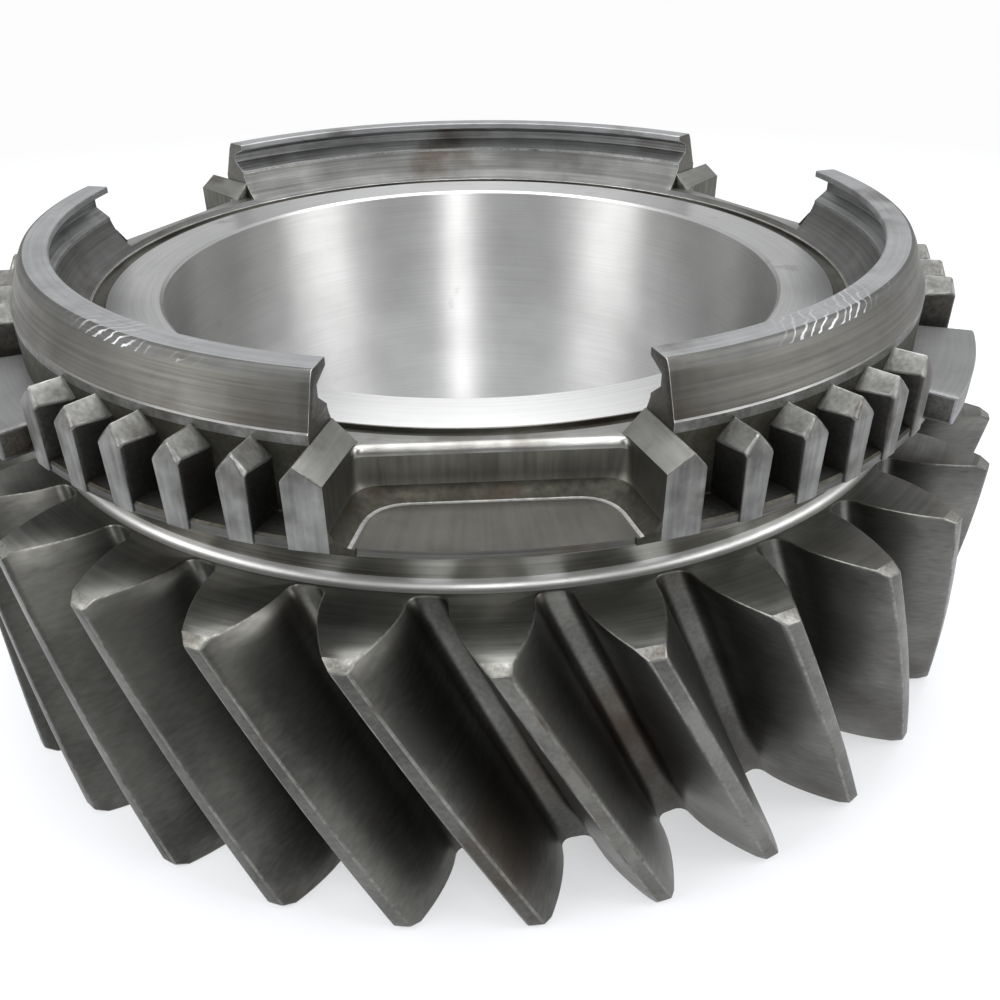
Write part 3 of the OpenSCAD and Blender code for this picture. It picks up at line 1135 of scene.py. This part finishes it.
    def close_ends(self, body: Piece) -> None:
        """Fills the end faces of the wall segments and breaks their edges."""
        pitch = 360 / self.gaps
        for i in range(self.gaps):
            for side in (-1, 1):
                plane = FRONT + i * pitch + side * self.gap_half
                Bench.edit(body, "EDGE")
                bpy.ops.mesh.select_non_manifold(extend=False, use_wire=False, use_boundary=True,
                                                 use_multi_face=False, use_non_contiguous=False,
                                                 use_verts=False)
                Bench.narrow(body, lambda p: (abs(p.off(plane)) < TOUCH) & (p.z > self.shelf_z - TOUCH)
                             & (p.r > self.foot_r))
                bpy.ops.mesh.edge_face_add()
                Bench.leave()
        Bench.outward(body)
        caps = [face for face in body.data.polygons if len(face.vertices) > self.cap_corners]
        for face in caps:
            face.material_index = Finish.WALL_OUTER
        rim = set().union(*(face.edge_keys for face in caps))
        Bench.edit(body, "EDGE")
        Bench.leave()
        for edge in body.data.edges:
            heights = [body.data.vertices[k].co.z / MM for k in edge.vertices]
            edge.select = edge.key in rim and max(heights) > self.shelf_z + TOUCH
        bpy.ops.object.mode_set(mode="EDIT")
        Bench.bevel(self.edge, Finish.WORN)

    def bore(self) -> Piece:
        """Models the tool that bores the gear, with a chamfer at each end.

        Returns:
            The closed tool.
        """
        Bench.clear()
        length = self.hub_z - 2 * self.bore_chamfer
        bpy.ops.mesh.primitive_cylinder_add(vertices=self.steps, radius=self.bore_r * MM, depth=length * MM,
                                            location=(0, 0, self.hub_z / 2 * MM))
        tool = bpy.context.object
        tool.name = "bore_tool"
        bpy.ops.object.transform_apply(location=True, rotation=False, scale=False)
        flare = self.bore_chamfer + self.sink
        wide = (self.bore_r + flare) / self.bore_r
        for end in (-1, 1):
            Bench.pick(tool, "FACE", lambda p: p.rise * end > 0.9)
            bpy.ops.mesh.extrude_region_move(TRANSFORM_OT_translate={"value": (0, 0, end * flare * MM)})
            bpy.ops.transform.resize(value=(wide, wide, 1), center_override=ORIGIN)
            Bench.leave()
        Bench.outward(tool)
        Bench.dress(tool)
        Bench.finish_by(tool, lambda p: np.where(abs(p.rise) > 0.3, Finish.HUB_FACE, Finish.BORE))
        return tool


@dataclass
class DogRing:
    """Dog teeth in groups beside the lug slots, with a smooth pad between the groups.

    Sizes in millimetres and degrees.
    """

    pitches: int = 57
    turn: float = 0.4
    group: int = 5
    first: float = 3.5
    slots: int = 3
    outer_r: float = 51.5
    hip_r: float = 51.0
    # Radii between which the roof facets carry a painted highlight stripe
    highlight_out_r: float = 48.55
    highlight_in_r: float = 48.25
    back_r: float = 46.9
    face_w: float = 2.4
    face_top_z: float = 40.8
    back_taper: float = 0.14
    flank_angle: float = 5.0
    low_z: float = 35.1
    ridge_z: float = 42.4
    roof_slope: float = 1.1
    edge: float = 0.14
    sharp: float = 14.0
    margin: float = 0.2
    upright: float = 0.25
    pad_r: float = 53.7
    pad_teeth: int = 3
    pad_low_z: float = 35.2
    pad_top_z: float = 38.0
    pad_edge: float = 0.3
    ramp_in_r: float = 43.5
    ramp_slot_angle: float = 13.75
    ramp_wall_angle: float = 16.1
    ramp_in_z: float = 40.3
    ramp_out_z: float = 40.8
    ramp_top_z: float = 42.2
    ramp_over: float = 2.2
    end_angle: float = 17.3
    end_z: float = 40.95
    ridge_drop: float = 0.3
    ridge_reach: float = 1.6

    def __post_init__(self) -> None:
        """Works out the angles between the teeth and between the slots."""
        self.pitch = 360 / self.pitches
        self.slot_pitch = 360 / self.slots

    def build(self) -> list[Piece]:
        """Models the teeth, the pads and the ramps beside the slots.

        Returns:
            The pieces of the ring.
        """
        teeth = self.tooth()
        Bench.spin(teeth, (self.group - 1) * self.pitch, self.group - 1, copies=True)
        Bench.spin(teeth, -(2 * self.first + self.group - 1) * self.pitch, 1, copies=True)
        pad = self.pad()
        ramps = [self.ramp(side) for side in (-1, 1)]
        pieces = [teeth, pad, *ramps]
        for piece in pieces:
            Bench.spin(piece, 360 - self.slot_pitch, self.slots - 1, copies=True)
        return pieces

    def half_at(self, radius: float) -> float:
        """Half width of a tooth's roof at a radius."""
        return self.face_w / 2 + (self.outer_r - radius) * math.tan(math.radians(self.flank_angle))

    def tooth(self) -> Piece:
        """Models the first dog tooth beside the front slot.

        Returns:
            The tooth, with a hipped roof and broken edges.
        """
        Bench.clear()
        bpy.ops.mesh.primitive_cube_add(size=1)
        tooth = bpy.context.object
        tooth.name = "dog_teeth"
        depth = self.outer_r - self.back_r
        Bench.whole(tooth)
        bpy.ops.mesh.bisect(plane_co=ORIGIN, plane_no=(0, 1, 0))
        for radius in (self.highlight_in_r, self.highlight_out_r, self.hip_r):
            bpy.ops.mesh.select_all(action="SELECT")
            bpy.ops.mesh.bisect(plane_co=((radius - self.back_r) / depth - 0.5, 0, 0), plane_no=(1, 0, 0))
        Bench.leave()
        for corner in tooth.data.vertices:
            corner.co = self.place(corner.co, depth) * MM
        self.fold(tooth)
        Bench.outward(tooth)
        Bench.dress(tooth)
        Bench.finish_by(tooth, self.finish_of)
        self.break_edges(tooth)
        turn = math.radians(FRONT + self.turn + self.first * self.pitch)
        Bench.whole(tooth)
        bpy.ops.transform.rotate(value=-turn, orient_axis="Z", center_override=ORIGIN)
        Bench.leave()
        return tooth

    def place(self, corner: Vector, depth: float) -> Vector:
        """Place of one corner of the tooth, from its place in the unit cube.

        Args:
            corner: Place in the cube.
            depth: Radial depth of the tooth.

        Returns:
            Place in millimetres, with the tooth along X.
        """
        radius = self.back_r + (corner.x + 0.5) * depth
        side = 0.0 if abs(corner.y) < TOUCH else math.copysign(1.0, corner.y)
        half = self.half_at(radius)
        if corner.z < 0:
            return Vector((radius, side * (half - self.back_taper), self.low_z))
        height = self.ridge_z - self.roof_slope * half * abs(side)
        if radius > self.outer_r - TOUCH:
            height = self.face_top_z
        return Vector((radius, side * half, height))

    def fold(self, tooth: Piece) -> None:
        """Folds the roof along its two hips.

        Args:
            tooth: Tooth with its corners in place.
        """
        for side in (-1, 1):
            end = side * self.half_at(self.outer_r)

            def ends(p: Places) -> np.ndarray:
                """Whether a vertex is the ridge's or the side's end of this fold."""
                ridge = (abs(p.x - self.hip_r) < TOUCH) & (abs(p.y) < TOUCH)
                edge = (abs(p.x - self.outer_r) < TOUCH) & (abs(p.y - end) < TOUCH)
                return (ridge | edge) & (p.z > self.low_z + 1)

            Bench.pick(tooth, "VERT", ends)
            bpy.ops.mesh.vert_connect_path()
            Bench.leave()

    def break_edges(self, tooth: Piece) -> None:
        """Breaks the edges of the tooth, worn bright on its roof."""
        Bench.edit(tooth, "EDGE")
        bpy.ops.mesh.edges_select_sharp(sharpness=math.radians(self.sharp))
        inner = self.highlight_in_r - self.margin
        Bench.narrow(tooth, lambda p: (p.x >= inner) & (p.z >= self.low_z + self.margin))
        Bench.bevel(self.edge, Finish.WORN)
        rise = Places.of(tooth, "FACE").rise
        for face in tooth.data.polygons:
            if face.material_index == Finish.WORN:
                upright = rise[face.index] < self.upright
                face.material_index = Finish.DOG_FACE if upright else Finish.DOG_EDGE

    def finish_of(self, places: Places) -> np.ndarray:
        """Finishes of a tooth's faces by the way they look, before the tooth is turned to its place."""
        rest = np.where(places.way[:, 0] > 0.7, Finish.DOG_FACE, Finish.DOG_SIDE)
        # Painted highlight: a stripe across the roof facets near their back gets the bright worn finish; the
        # sides are painted shade.
        highlight_band = (places.x > self.highlight_in_r) & (places.x < self.highlight_out_r)
        roof = np.where(highlight_band, Finish.WORN, Finish.DOG_ROOF)
        return np.where(places.rise > 0.3, roof, rest)

    def pad(self) -> Piece:
        """Models the smooth pad in the middle of the first wall segment.

        Returns:
            The pad, with broken edges.
        """
        span = self.pad_teeth * self.pitch
        start = FRONT + self.turn + (self.slot_pitch - span) / 2
        corners = ((self.back_r, self.pad_low_z), (self.pad_r, self.pad_low_z),
                   (self.pad_r, self.pad_top_z), (self.back_r, self.pad_top_z))
        pad = Bench.line("smooth_pads", [polar(r, start, z) for r, z in corners], closed=True)
        Bench.spin(pad, span, 16)
        for end in (start, start + span):
            Bench.pick(pad, "VERT", lambda p: abs(p.off(end)) < TOUCH)
            bpy.ops.mesh.edge_face_add()
        Bench.outward(pad)
        Bench.dress(pad)
        Bench.finish_by(pad, lambda p: np.where(p.rise > 0.9, Finish.PAD, Finish.RIM))
        Bench.edit(pad, "EDGE")
        bpy.ops.mesh.edges_select_sharp(sharpness=math.radians(40))
        Bench.bevel(self.pad_edge, Finish.PAD, segments=3, clamp=False)
        return pad

    def ramp(self, side: int) -> Piece:
        """Models the end tooth beside the front slot, whose slot side is a ramp that runs in to the wall.

        Args:
            side: 1 for the right end of the gap, -1 for the left.

        Returns:
            The closed block.
        """
        run = self.ramp_wall_angle - self.ramp_slot_angle
        rings = []
        for radius, low in ((self.ramp_in_r, self.ramp_in_z), (self.outer_r, self.ramp_out_z)):
            drop = (self.ramp_top_z - low) * self.ramp_over / run
            corners = (
                (self.ramp_slot_angle - self.ramp_over, self.low_z),
                (self.ramp_slot_angle - self.ramp_over, low - drop),
                (self.ramp_wall_angle, self.ramp_top_z),
                (self.end_angle, self.end_z),
                (self.end_angle, self.low_z),
            )
            points = [polar(radius, FRONT + side * angle, height) for angle, height in corners]
            rings.append(Bench.line("gap_ramps", points, closed=True))
        ramp = Bench.join(rings)
        Bench.whole(ramp, "EDGE")
        bpy.ops.mesh.bridge_edge_loops()
        middle = (self.ramp_in_r + self.outer_r) / 2
        for beyond in (-1, 1):
            Bench.pick(ramp, "VERT", lambda p: (p.r - middle) * beyond > 0)
            bpy.ops.mesh.edge_face_add()
        bpy.ops.mesh.select_all(action="SELECT")
        across = polar(1.0, FRONT + side * self.ramp_slot_angle + 90)
        bpy.ops.mesh.bisect(plane_co=ORIGIN, plane_no=across)
        Bench.outward(ramp)
        Bench.dress(ramp)
        Bench.finish_by(ramp, self.ramp_finish)
        Bench.pick(ramp, "EDGE", lambda p: (p.z > self.end_z - self.ridge_drop)
                   & (abs(abs(p.off(FRONT)) - self.ramp_wall_angle) < self.ridge_reach))
        Bench.bevel(self.edge, Finish.DOG_ROOF, clamp=False)
        return ramp

    def ramp_finish(self, places: Places) -> np.ndarray:
        """Finishes of a ramp's faces."""
        # Painted shade: the inner faces take the darkened dog side finish and the slot side the near-black
        # corner finish.
        rest = np.where(places.r > self.outer_r - 0.5, Finish.DOG_FACE, Finish.DOG_SIDE)
        rest = np.where(abs(places.off(FRONT)) < self.ramp_slot_angle, Finish.SLOT_CORNER, rest)
        return np.where(places.rise > 0.4, Finish.RAMP, rest)


@dataclass
class SlotLevel:
    """Outline of the lug slot at a height: how far its sides and back come in, and its corner radius."""

    z: float
    side_in: float
    back_in: float
    corner: float


@dataclass
class LugSlots:
    """Tool that mills the lug slots. Sizes in millimetres and degrees."""

    count: int = 3
    side_angle: float = 13.75
    back: float = 43.35
    front: float = 55.0
    corner_steps: int = 10
    floor_z: float = 35.8
    shelf_z: float = 40.2
    shelf_reach: float = 0.7
    # Height of the fillet band above the floor that is painted as shade
    shade_band_h: float = 1.3
    line_w: float = 0.3
    line_depth: float = 0.06
    levels: tuple[SlotLevel, ...] = (
        SlotLevel(35.8, 1.4, 1.0, 3.8),
        SlotLevel(36.0, 0.9, 0.64, 3.5),
        SlotLevel(36.35, 0.45, 0.32, 3.0),
        SlotLevel(36.9, 0.12, 0.09, 2.4),
        SlotLevel(37.6, 0.0, 0.0, 1.8),
        SlotLevel(39.45, 0.0, 0.0, 1.0),
        SlotLevel(39.8, 0.0, -0.07, 1.0),
        SlotLevel(40.02, 0.0, -0.22, 1.0),
        SlotLevel(40.14, 0.0, -0.42, 1.0),
        SlotLevel(40.21, 0.0, -0.75, 1.0),
        SlotLevel(50.0, 0.0, -0.75, 1.0),
    )

    def outline(self, level: SlotLevel) -> list[Vector]:
        """Outline of the slot at one level, about the front.

        Args:
            level: Level to draw.

        Returns:
            Points from the right front end round the back to the left front end.
        """
        turn = math.radians(self.side_angle)
        along = Vector((math.sin(turn), -math.cos(turn)))
        inward = Vector((-math.cos(turn), -math.sin(turn)))
        foot = inward * level.side_in
        back = -(self.back + level.back_in)
        corner = foot + along * ((back - foot.y) / along.y)
        end = foot + along * ((-self.front - foot.y) / along.y)
        reach = level.corner / math.tan(math.radians(90 + self.side_angle) / 2)
        start = corner + along * reach
        stop = corner - Vector((reach, 0))
        right = [end]
        for i in range(self.corner_steps + 1):
            share = i / self.corner_steps
            right.append(start.lerp(corner, share).lerp(corner.lerp(stop, share), share))
        left = [Vector((-p.x, p.y)) for p in reversed(right)]
        return [Vector((p.x, p.y, level.z)) for p in right + left]

    def build(self) -> Piece:
        """Models the tool by bridging its outlines from the floor up.

        Returns:
            The closed tool at every slot.
        """
        rings = [Bench.line("slot_tool", self.outline(level), closed=True) for level in self.levels]
        tool = Bench.join(rings)
        for low, high in zip(self.levels, self.levels[1:]):
            Bench.pick(tool, "EDGE", lambda p: (abs(p.rise) < TOUCH)
                       & ((abs(p.z - low.z) < TOUCH) | (abs(p.z - high.z) < TOUCH)))
            bpy.ops.mesh.bridge_edge_loops()
        for level in (self.levels[0], self.levels[-1]):
            Bench.pick(tool, "VERT", lambda p: abs(p.z - level.z) < TOUCH)
            bpy.ops.mesh.edge_face_add()
        Bench.outward(tool)
        Bench.pick(tool, "FACE", lambda p: (p.rise < -0.97) & (abs(p.z - self.floor_z) < TOUCH))
        bpy.ops.mesh.inset(thickness=self.line_w * MM, depth=self.line_depth * MM)
        Bench.leave()
        step = 360 / self.count
        Bench.dress(tool)
        Bench.finish_by(tool, self.finish_of)
        Bench.spin(tool, 360 - step, self.count - 1, copies=True)
        Bench.outward(tool)
        return tool

    def finish_of(self, places: Places) -> np.ndarray:
        """Finishes of the front slot's surfaces by their place."""
        flat = places.rise < -0.999
        broken = (abs(places.z - self.shelf_z) < self.shelf_reach) & (places.rise < -0.1)
        # Painted highlight on the narrow stepped ring round the floor, which is a real small step; painted
        # shade on the fillet band just above the floor.
        line = (places.z < self.floor_z) & ~flat & (places.rise < -0.5)
        hollow = (places.z > self.floor_z) & (places.z < self.floor_z + self.shade_band_h)
        rest = np.where(hollow, Finish.SLOT_CORNER, Finish.SLOT_WALL)
        rest = np.where(line, Finish.WORN, rest)
        rest = np.where(broken, Finish.SHELF, rest)
        return np.where(flat, Finish.SLOT_FLOOR, rest)


@dataclass
class Gear:
    """The whole gear, cut from one blank."""

    body: TurnedBody = field(default_factory=TurnedBody)
    band: HelicalBand = field(default_factory=HelicalBand)
    dogs: DogRing = field(default_factory=DogRing)
    slots: LugSlots = field(default_factory=LugSlots)
    smooth_angle: float = 24.0

    def build(self) -> Piece:
        """Models the gear and ties it to the frame.

        Returns:
            The finished piece.
        """
        Bench.palette = [FINISHES[finish].material() for finish in Finish]
        gear = self.body.build()
        LOG.info("turned body: %d faces", len(gear.data.polygons))
        band = self.band.build()
        LOG.info("helical band: %d faces", len(band.data.polygons))
        dogs = self.dogs.build()
        Bench.combine(gear, band, "UNION")
        for piece in dogs:
            LOG.info("%s: %d faces", piece.name, len(piece.data.polygons))
            Bench.combine(gear, piece, "UNION")
        Bench.combine(gear, self.body.bore(), "DIFFERENCE")
        Bench.combine(gear, self.slots.build(), "DIFFERENCE")
        gear.name = "gear_body"
        Bench.take(gear)
        bpy.ops.object.shade_smooth_by_angle(angle=math.radians(self.smooth_angle))
        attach(gear, "root")
        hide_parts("gear")
        return gear


@dataclass(frozen=True)
class Lamp:
    """Soft lamp that looks at the gear. Lengths in millimetres, power in watts."""

    name: str
    place: Triple
    size: Point
    power: float
    target: Triple = (0, 0, 30)

    def hang(self) -> None:
        """Hangs the lamp."""
        data = bpy.data.lights.new(self.name, "AREA")
        data.shape = "RECTANGLE"
        data.size = self.size[0] * MM
        data.size_y = self.size[1] * MM
        data.energy = self.power
        lamp = bpy.data.objects.new(self.name, data)
        bpy.context.scene.collection.objects.link(lamp)
        lamp.location = Vector(self.place) * MM
        way = Vector(self.target) - Vector(self.place)
        lamp.rotation_euler = way.to_track_quat("-Z", "Y").to_euler()


@dataclass
class Studio:
    """Floor, light and camera of the portrait. Lengths in millimetres, angles in degrees."""

    lamps: tuple[Lamp, ...] = (
        Lamp("top_light", (20, 120, 560), (420, 300), 2.2),
        Lamp("left_light", (-420, -170, 300), (250, 420), 1.5),
        Lamp("right_light", (430, -150, 300), (250, 420), 1.5),
        Lamp("front_light", (30, -340, 330), (60, 320), 0.8),
    )
    floor_size: float = 4000.0
    floor_colour: Triple = (0.82, 0.84, 0.88)
    glow: float = 0.98
    glow_near: float = 90.0
    glow_far: float = 300.0
    glow_least: float = 0.45
    room_front: float = 0.1
    room_back: float = 0.65
    room_top: float = 0.9
    camera_at: Triple = (-2.975, -109.95, 76.16)
    heading: float = 3.10
    tilt: float = 31.606
    roll: float = -0.53
    lens: float = 35.5
    sensor: float = 36.0

    def build(self) -> None:
        """Sets up the floor, the light and the camera."""
        self.floor()
        self.world()
        for lamp in self.lamps:
            lamp.hang()
        self.camera()
        bpy.context.scene.view_settings.view_transform = "Standard"

    def floor(self) -> None:
        """Lays the pale floor, which keeps the gear's shadow."""
        Bench.clear()
        bpy.ops.mesh.primitive_plane_add(size=self.floor_size * MM, location=ORIGIN)
        floor = bpy.context.object
        floor.name = "floor"
        pale = bpy.data.materials.new("pale_floor")
        pale.use_nodes = True
        nodes = Nodes(pale.node_tree)
        path = nodes.add("ShaderNodeLightPath")
        seen = nodes.math("MAXIMUM", path.outputs["Is Camera Ray"], path.outputs["Is Glossy Ray"])
        matt = nodes.add("ShaderNodeBsdfDiffuse")
        matt.inputs["Color"].default_value = (*self.floor_colour, 1.0)
        glow = nodes.add("ShaderNodeEmission")
        glow.inputs["Color"].default_value = (1.0, 1.0, 1.0, 1.0)
        glow.inputs["Strength"].default_value = self.glow
        blend = nodes.add("ShaderNodeMixShader")
        place = nodes.add("ShaderNodeTexCoord").outputs["Object"]
        length = nodes.add("ShaderNodeVectorMath", operation="LENGTH")
        nodes.link(place, length.inputs[0])
        near, far = self.glow_near * MM, self.glow_far * MM
        share = nodes.ramp(length.outputs["Value"], near, far, self.glow_least, 1.0)
        nodes.link(nodes.math("MULTIPLY", seen, share), blend.inputs[0])
        nodes.link(matt.outputs[0], blend.inputs[1])
        nodes.link(glow.outputs[0], blend.inputs[2])
        out = nodes.add("ShaderNodeOutputMaterial")
        nodes.link(blend.outputs[0], out.inputs["Surface"])
        floor.data.materials.append(pale)

    def world(self) -> None:
        """Makes the room: white to the eye, bright above and behind, darker on the viewer's side."""
        world = bpy.data.worlds.new("room")
        bpy.context.scene.world = world
        world.use_nodes = True
        nodes = Nodes(world.node_tree)
        place = nodes.add("ShaderNodeTexCoord").outputs["Generated"]
        split = nodes.add("ShaderNodeSeparateXYZ")
        nodes.link(place, split.inputs[0])
        _, y, z = split.outputs
        behind = nodes.ramp(y, -0.75, 0.35, self.room_front, self.room_back)
        above = nodes.ramp(z, 0.35, 0.9, 0.0, self.room_top)
        level = nodes.math("MAXIMUM", behind, above)
        path = nodes.add("ShaderNodeLightPath")
        level = nodes.math("MAXIMUM", level, path.outputs["Is Camera Ray"])
        back = nodes.add("ShaderNodeBackground")
        back.inputs["Color"].default_value = (1.0, 1.0, 1.0, 1.0)
        nodes.link(level, back.inputs["Strength"])
        out = nodes.add("ShaderNodeOutputWorld")
        nodes.link(back.outputs[0], out.inputs["Surface"])

    def camera(self) -> None:
        """Stands the camera where the portrait was taken from."""
        data = bpy.data.cameras.new("portrait_camera")
        data.lens = self.lens
        data.sensor_width = self.sensor
        data.clip_start = 5 * MM
        camera = bpy.data.objects.new("portrait_camera", data)
        bpy.context.scene.collection.objects.link(camera)
        turn = Matrix.Rotation(math.radians(-self.heading), 3, "Z")
        pitch = Matrix.Rotation(math.radians(90 - self.tilt), 3, "X")
        bank = Matrix.Rotation(math.radians(self.roll), 3, "Z")
        place = Matrix.Translation(Vector(self.camera_at) * MM)
        camera.matrix_world = place @ (turn @ pitch @ bank).to_4x4()
        bpy.context.scene.camera = camera


def main() -> None:
    """Builds the gear and the studio, and reports each piece."""
    logging.basicConfig(level=logging.INFO, format="%(name)s: %(message)s")
    gear = Gear().build()
    LOG.info("%s: %d faces, %d finishes", gear.name, len(gear.data.polygons), len(gear.data.materials))
    Studio().build()


if __name__ == "__main__":
    main()
